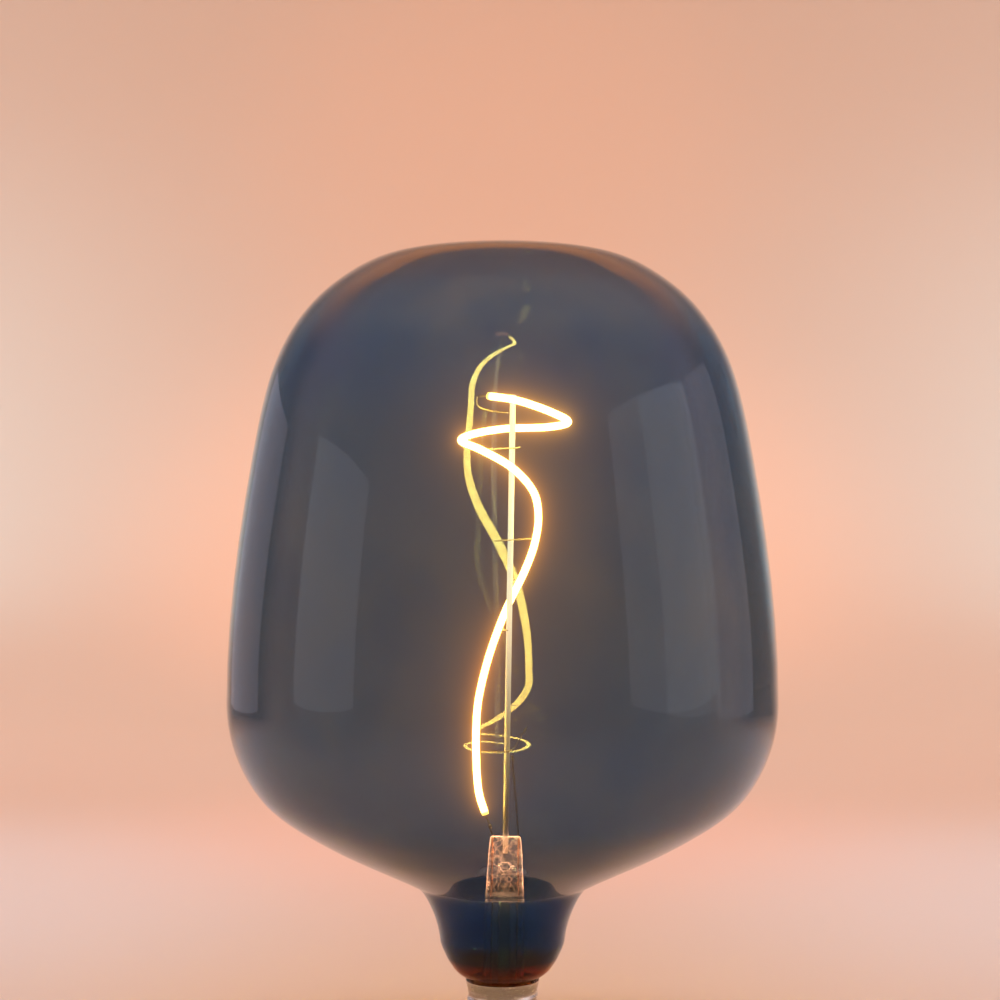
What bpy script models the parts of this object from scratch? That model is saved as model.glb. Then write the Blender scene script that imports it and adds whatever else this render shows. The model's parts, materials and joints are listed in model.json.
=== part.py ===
"""A large smoked-glass smart filament lamp with an E27 screw cap, as separate sub-parts.

Frame: metres, +Z up. The origin is the centre of the flat face of the base contact, on the globe's axis.
+X is to the right of the lamp's front and +Y points to its back. The driving dimensions are in millimetres.
"""

import math

import bmesh
import bpy
from mathutils import Vector

MM = 0.001
GAP = 0.3  # left between pieces that touch, mm

# Blown glass outline from the crown to the seal: radius, height, direction of travel in degrees.
GLOBE_STATIONS = [
    (0.0, 293.5, 0),  # crown
    (42.0, 290.5, -16),
    (61.5, 280.0, -37),  # shoulder
    (85.0, 244.0, -74),
    (91.0, 216.0, -80),  # flank
    (100.0, 129.0, -90),  # belly
    (89.0, 96.0, -127),
    (68.5, 80.0, -149),  # under-cone
    (32.5, 62.0, -153),
    (27.0, 55.5, -117),  # neck
    (22.8, 42.0, -96),
    (20.6, 36.0, -113),
    (18.0, 31.8, -124),
    (13.5, 28.0, -148),  # closes in on the cap's rim
    (10.2, 23.5, -90),  # spigot inside the cap
    (10.2, 20.5, -90),
]
GLASS_WALL = 1.0
FACET_ANGLE = 12.0  # turn of the outline per facet, degrees
GLOBE_STEPS = 36

# E27 screw cap.
CAP_HEIGHT = 27.0
CAP_RIM_RADIUS = 13.4
THREAD_PITCH = 3.629
THREAD_MAJOR_RADIUS = 13.1
THREAD_MINOR_RADIUS = 12.2
THREAD_BOTTOM = 8.0
THREAD_TOP = 23.5
SHELL_SHEET = 0.25
SHELL_STEPS = 28
ROWS_PER_TURN = 4
CONTACT_RADIUS = 4.7
CONTACT_FLAT_RADIUS = 3.6
INSULATOR_TIP_RADIUS = 5.6
INSULATOR_RIM_RADIUS = 10.7

# The glass mount: everything on the stem leans to the right as one piece.
SEAL_HEIGHT = 27.0
MOUNT_OFFSET = 0.3
MOUNT_LEAN = 0.95  # degrees
PRESS_TOP = 77.8
LEAD_SPACING = 9.2
POST_RADIUS = 1.05
POST_FOOT = 72.2
POST_TOP = 240.0
LEAD_BORE = 0.6
BLOW_HOLE_HEIGHT = 68.0
BLOW_HOLE_RADIUS = 2.9
EXHAUST_RADIUS = 2.7
EXHAUST_BORE = 1.7
EXHAUST_TOP = 58.3
EXHAUST_TIP = 19.4

# Stem glass sections: height, half width, half depth, squareness of the superellipse.
STEM_OUTSIDE = [
    (77.8, 5.2, 1.6, 4),
    (77.1, 5.7, 2.2, 4),
    (71.0, 6.3, 2.5, 4),
    (63.5, 6.7, 2.8, 4),
    (59.5, 7.0, 4.2, 3),
    (54.5, 7.4, 6.6, 2.3),
    (49.0, 7.5, 7.5, 2),
    (33.0, 7.5, 7.5, 2),
    (28.0, 7.7, 7.7, 2),
    (24.0, 8.1, 8.1, 2),
    (21.0, 8.6, 8.6, 2),
]
STEM_INSIDE = [
    (21.0, 7.6, 7.6, 2),
    (24.0, 7.0, 7.0, 2),
    (28.0, 6.6, 6.6, 2),
    (33.0, 6.4, 6.4, 2),
    (49.0, 6.4, 6.4, 2),
    (54.5, 6.2, 5.3, 2.3),
    (58.6, 5.6, 3.2, 3),
]
STEM_SIDES = 24

# The filament winds down round the post: angle from +X towards +Y in degrees, radius, height.
FILAMENT_RADIUS = 1.3
FILAMENT_STATIONS = [
    (180, 7.5, 86.5),
    (180, 10.2, 95.5),
    (178, 11.3, 109.0),
    (171, 11.5, 121.0),
    (154, 11.5, 131.0),
    (126, 11.5, 145.5),
    (95, 11.4, 161.5),
    (60, 10.8, 175.5),
    (30, 10.3, 186.0),
    (3, 10.0, 196.0),
    (-40, 10.2, 205.0),
    (-90, 12.0, 213.3),
    (-137, 15.2, 219.5),
    (-180, 18.6, 222.9),
    (-220, 19.3, 225.8),
    (-262, 19.6, 228.3),
    (-310, 20.2, 229.0),
    (-360, 20.3, 230.5),
    (-402, 16.8, 234.0),
    (-445, 12.6, 237.5),
    (-505, 11.0, 239.2),
]
FILAMENT_POINTS = 72
PATH_SUBDIVISIONS = 24  # curve samples between two stations, before they are spaced evenly

WIRE_RADIUS = 0.28
HOOK_POINT = (-13.0, -6.0, 239.0)
TAB_RADIUS = 0.3
TAB_FOLD_RADIUS = 0.35
WELD_POINT = (-5.7, 0.0, 81.8)
WELD_RADIUS = 0.85
LEFT_LEAD_RADIUS = 0.4
RIGHT_LEAD_RADIUS = 0.45
OUTER_LEAD_RADIUS = 0.3
HOOKUP_RADIUS = 0.25

# Driver board, standing upright in the cap, and what is soldered to it.
BOARD_SIZE = (17.2, 1.0, 10.0)
BOARD_CENTRE_HEIGHT = 13.4
MODULE_SIZE = (7.6, 1.8, 8.0)
RECTIFIER_SIZE = (4.2, 2.0, 3.4)
CHIP_SIZE = (4.4, 1.5, 3.6)
CAPACITOR = (2.4, 7.6)  # radius, length
INDUCTOR = (2.4, 3.8)
RESISTOR = (1.1, 5.6)

CEMENT_OUTER_RADIUS = 11.6
CEMENT_INNER_RADIUS = 10.5
CEMENT_TOP = 24.0
CEMENT_BOTTOM = 18.9

COLOURS = {
    "smoked_glass": ((0.10, 0.115, 0.16), 0.03, 0.0),
    "clear_glass": ((0.80, 0.84, 0.84), 0.05, 0.0),
    "nickel": ((0.62, 0.60, 0.57), 0.25, 1.0),
    "copper": ((0.78, 0.42, 0.26), 0.30, 1.0),
    "phosphor": ((0.95, 0.74, 0.30), 0.45, 0.0),
    "cap_metal": ((0.72, 0.70, 0.66), 0.28, 1.0),
    "solder": ((0.66, 0.66, 0.64), 0.35, 1.0),
    "black_insulator": ((0.03, 0.03, 0.035), 0.25, 0.0),
    "cement": ((0.62, 0.57, 0.48), 0.85, 0.0),
    "circuit_board": ((0.05, 0.22, 0.11), 0.40, 0.0),
    "black_resin": ((0.035, 0.035, 0.035), 0.50, 0.0),
    "tin_can": ((0.70, 0.70, 0.68), 0.35, 1.0),
    "sleeve": ((0.08, 0.10, 0.16), 0.35, 0.0),
    "resistor_coat": ((0.30, 0.45, 0.62), 0.40, 0.0),
}


def clear_scene():
    for obj in list(bpy.data.objects):
        bpy.data.objects.remove(obj, do_unlink=True)


def new_collection(name):
    collection = bpy.data.collections.new(name)
    bpy.context.scene.collection.children.link(collection)
    return collection


def make_material(name):
    colour, roughness, metallic = COLOURS[name]
    material = bpy.data.materials.get(name) or bpy.data.materials.new(name)
    material.use_nodes = True
    shader = material.node_tree.nodes["Principled BSDF"]
    shader.inputs["Base Color"].default_value = (*colour, 1.0)
    shader.inputs["Roughness"].default_value = roughness
    shader.inputs["Metallic"].default_value = metallic
    return material


def add_object(name, data, material=None, parent=None):
    obj = bpy.data.objects.new(name, data)
    PARTS.objects.link(obj)
    obj.parent = parent
    if material:
        data.materials.append(make_material(material))
    return obj


def shade_smooth(mesh, sharp_angle=40.0):
    mesh.shade_smooth()
    mesh.set_sharp_from_angle(angle=math.radians(sharp_angle))


def mesh_from_bmesh(name, bm):
    mesh = bpy.data.meshes.new(name)
    bm.normal_update()
    bm.to_mesh(mesh)
    bm.free()
    shade_smooth(mesh)
    return mesh


def turned(name, profile, steps, material, inside=(), closed=False, parent=None):
    """Turns a profile of (radius, height) in mm round Z. Its outer side runs from top to bottom.

    The inside of a tube that ends in a tip runs from the axis back up to the profile's first point.
    """
    points = [*profile, *inside]
    count = len(points)
    edges = [(i, i + 1) for i in range(count - 1) if not inside or i != len(profile) - 1]
    if closed or inside:
        edges.append((count - 1, 0))
    mesh = bpy.data.meshes.new(name)
    mesh.from_pydata([(radius * MM, 0.0, height * MM) for radius, height in points], edges, [])
    obj = add_object(name, mesh, material, parent)
    screw = obj.modifiers.new("Turn", "SCREW")
    screw.axis = "Z"
    screw.steps = steps
    screw.render_steps = steps
    screw.use_merge_vertices = True
    screw.merge_threshold = 0.00001
    screw.use_smooth_shade = True
    return obj


def solidify(obj, thickness):
    shell = obj.modifiers.new("Wall", "SOLIDIFY")
    shell.thickness = thickness * MM
    shell.offset = -1.0
    return obj


def apply_modifiers(obj):
    """Replaces an object's mesh with its evaluated one."""
    graph = bpy.context.evaluated_depsgraph_get()
    mesh = bpy.data.meshes.new_from_object(obj.evaluated_get(graph))
    obj.modifiers.clear()
    obj.data = mesh
    return mesh


def rod(name, points, radius, material, parent=None, sides=2):
    """A wire or tube along points in mm, with closed ends."""
    curve = bpy.data.curves.new(name, "CURVE")
    curve.dimensions = "3D"
    curve.bevel_depth = radius * MM
    curve.bevel_resolution = sides
    curve.use_fill_caps = True
    spline = curve.splines.new("POLY")
    spline.points.add(len(points) - 1)
    for target, point in zip(spline.points, points):
        target.co = (*(Vector(point) * MM), 1.0)
    spline.use_smooth = True
    return add_object(name, curve, material, parent)


def block(name, size, centre, material, bevel=0.25):
    bm = bmesh.new()
    bmesh.ops.create_cube(bm, size=1.0)
    bmesh.ops.scale(bm, vec=Vector(size) * MM, verts=bm.verts)
    obj = add_object(name, mesh_from_bmesh(name, bm), material)
    obj.location = Vector(centre) * MM
    edge = obj.modifiers.new("Edges", "BEVEL")
    edge.width = bevel * MM
    edge.segments = 2
    return obj


def drum(name, radius, length, centre, turn, material, bevel=0.3, sides=24):
    """A short cylinder with eased edges; turn is its rotation from upright."""
    bm = bmesh.new()
    bmesh.ops.create_cone(
        bm, cap_ends=True, segments=sides, radius1=radius * MM, radius2=radius * MM, depth=length * MM
    )
    obj = add_object(name, mesh_from_bmesh(name, bm), material)
    obj.location = Vector(centre) * MM
    obj.rotation_euler = turn
    edge = obj.modifiers.new("Edges", "BEVEL")
    edge.width = bevel * MM
    edge.segments = 2
    edge.limit_method = "ANGLE"
    return obj


def ball_mesh(name, radius, segments):
    bm = bmesh.new()
    bmesh.ops.create_uvsphere(bm, u_segments=segments, v_segments=segments // 2 + 1, radius=radius * MM)
    return mesh_from_bmesh(name, bm)


def cut(target, cutter):
    """Cuts the cutter out of the target and hides it as a guide."""
    CUTTERS.objects.link(cutter)
    PARTS.objects.unlink(cutter)
    cutter.display_type = "WIRE"
    cutter.hide_render = True
    difference = target.modifiers.new("Cut " + cutter.name, "BOOLEAN")
    difference.operation = "DIFFERENCE"
    difference.object = cutter


def bore_cutter(name, radius, bottom, top, x, parent):
    bm = bmesh.new()
    length = (top - bottom) * MM
    bmesh.ops.create_cone(
        bm, cap_ends=True, segments=16, radius1=radius * MM, radius2=radius * MM, depth=length
    )
    obj = add_object(name, mesh_from_bmesh(name, bm), parent=parent)
    obj.location = Vector((x, 0.0, (bottom + top) / 2 - SEAL_HEIGHT)) * MM
    return obj


def bezier(controls, t):
    """The point at t, from 0 to 1, along a cubic Bezier curve with four control points."""
    weights = ((1 - t) ** 3, 3 * (1 - t) ** 2 * t, 3 * (1 - t) * t**2, t**3)
    return sum((control * weight for control, weight in zip(controls, weights)), Vector((0.0, 0.0)))


def arc_between(start, end, facet_angle):
    """Points from one outline station to the next, along a curve that keeps both directions."""
    turn = math.radians(abs(end[2] - start[2]))
    first, last = Vector(start[:2]), Vector(end[:2])
    chord = (last - first).length
    handle = chord / 3
    if turn > 0.001:
        handle = chord * (4 / 3) * math.tan(turn / 4) / (2 * math.sin(turn / 2))
    headings = [math.radians(station[2]) for station in (start, end)]
    out, back = [Vector((math.cos(heading), math.sin(heading))) * handle for heading in headings]
    count = max(1, math.ceil(math.degrees(turn) / facet_angle))
    return [bezier((first, first + out, last - back, last), i / count) for i in range(1, count + 1)]


def outline(stations, facet_angle):
    points = [Vector(stations[0][:2])]
    for start, end in zip(stations, stations[1:]):
        points += arc_between(start, end, facet_angle)
    return [tuple(point) for point in points]


def catmull_rom(a, b, c, d, t):
    """The point at t, from 0 to 1, between b and c."""
    bend = (2 * a - 5 * b + 4 * c - d) * t**2
    swing = (3 * b - a - 3 * c + d) * t**3
    return 0.5 * (2 * b + (c - a) * t + bend + swing)


def smooth_path(stations, count):
    """Points evenly spaced along a Catmull-Rom curve through the stations."""
    knots = [2 * stations[0] - stations[1], *stations, 2 * stations[-1] - stations[-2]]
    dense = []
    for a, b, c, d in zip(knots, knots[1:], knots[2:], knots[3:]):
        dense += [catmull_rom(a, b, c, d, i / PATH_SUBDIVISIONS) for i in range(PATH_SUBDIVISIONS)]
    dense.append(stations[-1])
    lengths = [0.0]
    for p, q in zip(dense, dense[1:]):
        lengths.append(lengths[-1] + (q - p).length)
    path, at = [], 0
    for i in range(count):
        want = lengths[-1] * i / (count - 1)
        while at < len(dense) - 2 and lengths[at + 1] < want:
            at += 1
        share = (want - lengths[at]) / (lengths[at + 1] - lengths[at])
        path.append(dense[at].lerp(dense[at + 1], min(share, 1.0)))
    return path


def on_mount(*point):
    """A point given by its offset from the post and its height above the base, in the mount's own frame."""
    x, y, z = point
    return (x, y, z - SEAL_HEIGHT)


def make_mount_empty():
    mount = add_object("mount_axis", None)
    mount.location = Vector((MOUNT_OFFSET, 0.0, SEAL_HEIGHT)) * MM
    mount.rotation_euler = (0.0, math.radians(MOUNT_LEAN), 0.0)
    return mount


def make_envelope():
    globe = turned("glass_envelope", outline(GLOBE_STATIONS, FACET_ANGLE), GLOBE_STEPS, "smoked_glass")
    return solidify(globe, GLASS_WALL)


def superellipse(height, half_width, half_depth, squareness):
    ring = []
    for i in range(STEM_SIDES):
        angle = 2 * math.pi * i / STEM_SIDES
        c, s = math.cos(angle), math.sin(angle)
        x = math.copysign(abs(c) ** (2 / squareness), c) * half_width
        y = math.copysign(abs(s) ** (2 / squareness), s) * half_depth
        ring.append(on_mount(x, y, height))
    return ring


def loft(name, sections, material, parent):
    """Skins a stack of rings of equal count and closes both ends. The first ring is the top outside."""
    bm = bmesh.new()
    rings = [[bm.verts.new(Vector(p) * MM) for p in superellipse(*section)] for section in sections]
    for upper, lower in zip(rings, rings[1:]):
        for i in range(STEM_SIDES):
            j = (i + 1) % STEM_SIDES
            bm.faces.new((upper[j], upper[i], lower[i], lower[j]))
    bm.faces.new(rings[0])
    bm.faces.new(reversed(rings[-1]))
    return add_object(name, mesh_from_bmesh(name, bm), material, parent)


def make_stem(mount):
    stem = loft("stem_glass", STEM_OUTSIDE + STEM_INSIDE, "clear_glass", mount)
    cavity_top = STEM_INSIDE[-1][0]
    for side, x in (("left", -LEAD_SPACING / 2), ("right", LEAD_SPACING / 2)):
        cut(stem, bore_cutter("bore_" + side, LEAD_BORE, cavity_top - 4, PRESS_TOP + 2, x, mount))
    cut(stem, bore_cutter("post_socket", POST_RADIUS + GAP, POST_FOOT - GAP, PRESS_TOP + 2, 0.0, mount))
    hole = add_object("blow_hole", ball_mesh("blow_hole", BLOW_HOLE_RADIUS, 20), parent=mount)
    hole.location = Vector(on_mount(0.1, -1.4, BLOW_HOLE_HEIGHT)) * MM
    cut(stem, hole)
    cut(stem, bore_cutter("exhaust_bore", EXHAUST_BORE, cavity_top - 2, BLOW_HOLE_HEIGHT, 0.0, mount))


def make_exhaust_tube(mount):
    top = EXHAUST_TOP - SEAL_HEIGHT
    tip = EXHAUST_TIP - SEAL_HEIGHT
    outside = [(EXHAUST_RADIUS, top), (EXHAUST_RADIUS, tip + 4.0)]
    outside += [(2.0, tip + 1.4), (1.0, tip + 0.3), (0.0, tip)]
    inside = [(0.0, tip + 2.2), (0.9, tip + 2.7), (EXHAUST_BORE, tip + 4.4), (EXHAUST_BORE, top)]
    turned("exhaust_tube", outside, 20, "clear_glass", inside, parent=mount)


def make_post(mount):
    post = [on_mount(0.0, 0.0, height) for height in (POST_FOOT, 120.0, 180.0, POST_TOP)]
    rod("support_post", post, POST_RADIUS, "nickel", mount, sides=4)


def filament_path():
    stations = []
    for angle, radius, height in FILAMENT_STATIONS:
        turn = math.radians(angle)
        stations.append(Vector(on_mount(radius * math.cos(turn), radius * math.sin(turn), height)))
    return smooth_path(stations, FILAMENT_POINTS)


def make_filament(mount):
    path = filament_path()
    rod("led_filament", path, FILAMENT_RADIUS, "phosphor", mount)
    foot, head = path[0], path[-1]
    down = (path[0] - path[1]).normalized()
    bead = Vector(on_mount(*WELD_POINT))
    start = foot + down * GAP
    lower = [start, start.lerp(bead, 0.4), bead + Vector((-0.3, 0.0, WELD_RADIUS + 0.35))]
    rod("filament_tab_lower", lower, TAB_RADIUS, "nickel", mount)
    away = (path[-1] - path[-2]).normalized()
    hook = Vector(on_mount(*HOOK_POINT))
    upper = [head + away * GAP, hook + Vector((0.8, 0.3, 0.0))]
    rod("filament_tab_upper", upper, TAB_FOLD_RADIUS, "nickel", mount)
    weld = add_object("weld_bead", ball_mesh("weld_bead", WELD_RADIUS, 14), "solder", mount)
    weld.location = bead * MM


def make_leads(mount):
    half = LEAD_SPACING / 2
    above = PRESS_TOP + GAP
    left = [(-half, 0.0, above), (-5.3, 0.0, 79.6), (-5.6, 0.0, 80.6)]
    right = [(half, 0.0, above), (4.3, 0.0, 83.0), (3.9, 0.0, 87.5), (3.2, 0.0, 94.5)]
    right += [(2.4, 0.0, 102.0), (1.85, 0.0, 108.5)]
    rod("inner_lead_left", [on_mount(*p) for p in left], LEFT_LEAD_RADIUS, "nickel", mount)
    rod("inner_lead_right", [on_mount(*p) for p in right], RIGHT_LEAD_RADIUS, "nickel", mount)
    for side, x in (("left", -half), ("right", half)):
        run = [(x, 0.0, PRESS_TOP - 0.8), (x, 0.0, 56.0), (x * 1.02, 0.0, 38.0), (x, 0.0, 20.0)]
        rod("outer_lead_" + side, [on_mount(*p) for p in run], OUTER_LEAD_RADIUS, "copper", mount)


def make_support_wires(mount):
    """Wires welded across the post that hold the filament off it."""
    beside = POST_RADIUS + WIRE_RADIUS + GAP
    hook = [(-beside, 0.0, 233.4), (-6.4, -3.0, 233.7), (-9.7, -4.6, 234.2), (-12.2, -5.7, 235.0)]
    hook += [(-13.1, -6.0, 236.2), (-13.2, -6.0, 237.6), HOOK_POINT]
    low_arm = [(-9.6, -0.3, 109.7), (0.0, -beside, 109.9), (2.4, -1.5, 111.0), (7.0, -1.2, 119.1)]
    runs = {
        "top_hook_wire": hook,
        "support_wire_1": [(-9.9, -9.2, 219.7), (1.1, -1.2, 220.6), (2.9, 0.3, 221.0)],
        "support_wire_2": [(7.9, 2.6, 187.8), (1.0, -1.4, 187.2), (-5.9, -4.4, 186.7)],
        "support_wire_3": [(-2.9, 9.3, 154.3), (-1.8, 0.4, 154.3), (-0.6, -2.6, 154.3)],
        "support_wire_4": low_arm,
    }
    for name, points in runs.items():
        rod(name, [on_mount(*p) for p in points], WIRE_RADIUS, "nickel", mount)


def thread_radius(angle, height):
    """Radius of the rolled screw shell, a right-hand thread that fades out at both ends."""
    mean = (THREAD_MAJOR_RADIUS + THREAD_MINOR_RADIUS) / 2
    depth = (THREAD_MAJOR_RADIUS - THREAD_MINOR_RADIUS) / 2
    wave = math.cos(2 * math.pi * height / THREAD_PITCH - angle)
    fade_in = min(1.0, max(0.0, (height - THREAD_BOTTOM) / THREAD_PITCH))
    fade_out = min(1.0, max(0.0, (THREAD_TOP - height) / THREAD_PITCH))
    return mean + depth * wave * min(fade_in, fade_out)


def make_screw_shell():
    mean = (THREAD_MAJOR_RADIUS + THREAD_MINOR_RADIUS) / 2
    rows = round((THREAD_TOP - THREAD_BOTTOM) / THREAD_PITCH * ROWS_PER_TURN)
    spacing = (THREAD_TOP - THREAD_BOTTOM) / rows
    threaded = [(mean, THREAD_TOP - i * spacing) for i in range(rows + 1)]
    rim = [(CAP_RIM_RADIUS, CAP_HEIGHT), (CAP_RIM_RADIUS - 0.2, CAP_HEIGHT - 0.9)]
    rim.append((mean + 0.1, THREAD_TOP + 0.6))
    foot = [(mean - 0.5, THREAD_BOTTOM - 0.6), (INSULATOR_RIM_RADIUS + 0.7, THREAD_BOTTOM - 0.9)]
    shell = turned("screw_shell", rim + threaded + foot, SHELL_STEPS, "cap_metal")
    for vertex in apply_modifiers(shell).vertices:
        x, y, z = vertex.co / MM
        if THREAD_BOTTOM < z < THREAD_TOP:
            radius = thread_radius(math.atan2(y, x), z)
            scale = radius / math.hypot(x, y)
            vertex.co.x *= scale
            vertex.co.y *= scale
    solidify(shell, SHELL_SHEET)


def make_cap():
    make_screw_shell()
    tip, rim = INSULATOR_TIP_RADIUS, INSULATOR_RIM_RADIUS
    bowl_outside = [(rim, 8.8), (rim, 7.2), (rim - 0.5, 6.4), (tip, 1.5)]
    bowl_inside = [(2.0, 1.5), (2.0, 4.4), (3.4, 4.8), (8.8, 7.6), (9.3, 8.8)]
    turned("cap_insulator", bowl_outside + bowl_inside, 32, "black_insulator", closed=True)
    rivet = [(1.5, 3.2), (1.5, 1.5 - GAP), (CONTACT_RADIUS, 1.5 - GAP), (CONTACT_RADIUS - 0.3, 0.5)]
    rivet += [(CONTACT_FLAT_RADIUS, 0.0), (0.0, 0.0)]
    turned("centre_contact", [(0.0, 3.2), *rivet], 24, "solder")
    ring = [(CEMENT_OUTER_RADIUS, CEMENT_TOP), (CEMENT_OUTER_RADIUS, CEMENT_BOTTOM)]
    ring += [(CEMENT_INNER_RADIUS, CEMENT_BOTTOM), (CEMENT_INNER_RADIUS + 0.1, CEMENT_TOP)]
    turned("capping_cement", ring, 32, "cement", closed=True)


def make_electronics():
    width, thickness, height = BOARD_SIZE
    mid = BOARD_CENTRE_HEIGHT
    front = -(thickness / 2 + GAP)
    back = -front
    sideways = (0.0, math.pi / 2, 0.0)
    facing = (math.pi / 2, 0.0, 0.0)
    block("driver_board", BOARD_SIZE, (0.0, 0.0, mid), "circuit_board", bevel=0.1)
    block("wireless_module", MODULE_SIZE, (4.3, front - MODULE_SIZE[1] / 2, mid), "tin_can", bevel=0.3)
    capacitor_centre = (-4.2, front - CAPACITOR[0], mid)
    drum("smoothing_capacitor", *CAPACITOR, capacitor_centre, sideways, "sleeve", bevel=0.4)
    drum("inductor", *INDUCTOR, (-5.4, back + INDUCTOR[1] / 2, mid + 1.0), facing, "black_resin")
    block("bridge_rectifier", RECTIFIER_SIZE, (0.2, back + RECTIFIER_SIZE[1] / 2, mid + 2.6), "black_resin")
    block("driver_chip", CHIP_SIZE, (5.6, back + CHIP_SIZE[1] / 2, mid + 1.6), "black_resin")
    resistor_centre = (1.6, back + RESISTOR[0], mid - 3.0)
    drum("fusible_resistor", *RESISTOR, resistor_centre, sideways, "resistor_coat", bevel=0.4, sides=16)
    contact_run = [(0.0, 0.0, 3.2 + GAP), (0.0, 0.6, 6.0), (-1.0, 1.6, 8.4), (-1.6, back + 1.1, mid - 3.0)]
    rod("contact_wire", contact_run, HOOKUP_RADIUS, "copper")
    shell_run = [(width / 2 + GAP + 0.3, 0.0, mid + 2.0), (9.9, 0.0, mid + 3.0), (11.1, 0.0, mid + 3.6)]
    rod("shell_wire", shell_run, HOOKUP_RADIUS, "copper")


clear_scene()
PARTS = new_collection("smart_filament_lamp")
CUTTERS = new_collection("cutters")
MOUNT = make_mount_empty()
make_envelope()
make_stem(MOUNT)
make_exhaust_tube(MOUNT)
make_post(MOUNT)
make_filament(MOUNT)
make_leads(MOUNT)
make_support_wires(MOUNT)
make_cap()
make_electronics()
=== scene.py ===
"""Looks for a very large smoked-glass filament lamp: a lit filament winds round a leaning post in a globe.

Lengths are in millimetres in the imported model's frame, unless a comment says metres: the origin is at the
base contact, +Z is up and +Y points to the lamp's back.
"""

import json
import math

import bmesh
import bpy
from mathutils import Matrix, Vector


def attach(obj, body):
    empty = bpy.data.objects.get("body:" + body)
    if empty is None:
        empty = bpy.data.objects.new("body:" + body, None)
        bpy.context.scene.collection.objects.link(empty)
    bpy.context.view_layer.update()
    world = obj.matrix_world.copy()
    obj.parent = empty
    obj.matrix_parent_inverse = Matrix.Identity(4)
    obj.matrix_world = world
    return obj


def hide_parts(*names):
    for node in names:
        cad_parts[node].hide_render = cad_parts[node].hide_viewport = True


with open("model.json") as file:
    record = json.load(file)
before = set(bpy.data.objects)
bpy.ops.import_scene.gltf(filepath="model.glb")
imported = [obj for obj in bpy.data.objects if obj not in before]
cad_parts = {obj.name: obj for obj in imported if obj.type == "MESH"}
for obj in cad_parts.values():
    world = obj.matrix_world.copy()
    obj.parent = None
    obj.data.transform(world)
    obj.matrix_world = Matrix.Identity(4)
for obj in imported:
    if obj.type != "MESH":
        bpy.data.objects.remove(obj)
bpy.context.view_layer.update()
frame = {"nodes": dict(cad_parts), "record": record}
NODES = frame["nodes"]
MM = 0.001

# Blown outline of the globe: radius, height, direction of travel in degrees, as in the CAD model.
GLOBE_STATIONS = [
    (0.0, 293.4, 0),
    (42.0, 290.5, -16),
    (61.5, 280.0, -37),
    (85.0, 244.0, -74),
    (91.0, 216.0, -80),
    (100.0, 129.0, -90),
    (89.0, 96.0, -127),
    (68.5, 80.0, -149),
    (32.5, 62.0, -153),
    (27.0, 55.5, -117),
    (22.8, 42.0, -96),
    (20.6, 36.0, -113),
    (18.0, 31.8, -124),
    (13.5, 28.0, -148),
    (10.2, 23.5, -90),
    (10.2, 20.5, -90),
]
GLASS_WALL = 1.0
GLOBE_FACET = 2.5  # turn of the outline per facet, degrees
GLOBE_STEPS = 192

# The mount leans to the right as one piece about the neck seal.
SEAL_HEIGHT = 27.0
MOUNT_OFFSET = 0.3
MOUNT_LEAN = 0.95  # degrees

# The filament winds down round the post: angle from +X towards +Y in degrees, radius, height.
FILAMENT_RADIUS = 1.3
FILAMENT_STATIONS = [
    (180, 7.5, 86.5),
    (180, 10.2, 95.5),
    (178, 11.3, 109.0),
    (171, 11.5, 121.0),
    (154, 11.5, 131.0),
    (126, 11.5, 145.5),
    (95, 11.4, 161.5),
    (60, 10.8, 175.5),
    (30, 10.3, 186.0),
    (3, 10.0, 196.0),
    (-40, 10.2, 205.0),
    (-90, 12.0, 213.3),
    (-137, 15.2, 219.5),
    (-180, 18.6, 222.9),
    (-220, 19.3, 225.8),
    (-262, 19.6, 228.3),
    (-310, 20.2, 229.0),
    (-360, 20.3, 230.5),
    (-402, 16.8, 234.0),
    (-445, 12.6, 237.5),
    (-505, 11.0, 239.2),
]
FILAMENT_POINTS = 320
PATH_SUBDIVISIONS = 24  # curve samples between two stations, before they are spaced evenly

POST_RADIUS = 1.05
POST_HEIGHTS = (72.2, 120.0, 180.0, 240.0)

# Stem glass sections: height, half width, half depth, squareness of the superellipse.
STEM_SECTIONS = [
    (77.8, 5.0, 1.4, 3.2),
    (77.5, 5.45, 1.95, 3.4),
    (76.6, 5.7, 2.3, 3.6),
    (71.0, 6.25, 2.5, 3.8),
    (63.5, 6.7, 2.8, 3.6),
    (59.5, 7.0, 4.2, 3.0),
    (54.5, 7.4, 6.6, 2.3),
    (49.0, 7.5, 7.5, 2.0),
    (33.0, 7.5, 7.5, 2.0),
    (28.0, 7.7, 7.7, 2.0),
    (24.0, 8.1, 8.1, 2.0),
    (21.0, 8.6, 8.6, 2.0),
]
FLARE_BORE = [
    (21.0, 7.6, 7.6, 2.0),
    (24.0, 7.0, 7.0, 2.0),
    (28.0, 6.6, 6.6, 2.0),
    (33.0, 6.4, 6.4, 2.0),
    (49.0, 6.4, 6.4, 2.0),
    (54.5, 6.2, 5.3, 2.3),
    (58.6, 5.6, 3.2, 3.0),
]
STEM_SIDES = 96
STEM_ROW = 0.4
BORE_ROW = 2.0
PRESS_FOOT = 60.0
BLOW_HOLE_HEIGHT = 68.0
BLOW_HOLE_RADIUS = 2.9
BLOW_HOLE_DEPTH = 1.5
BLOW_HOLE_LIP = 0.55
JAW_MARKS_FOOT = 71.0
JAW_MARK_DEPTH = 0.42
JAW_MARK_PITCH = 2.4

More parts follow.
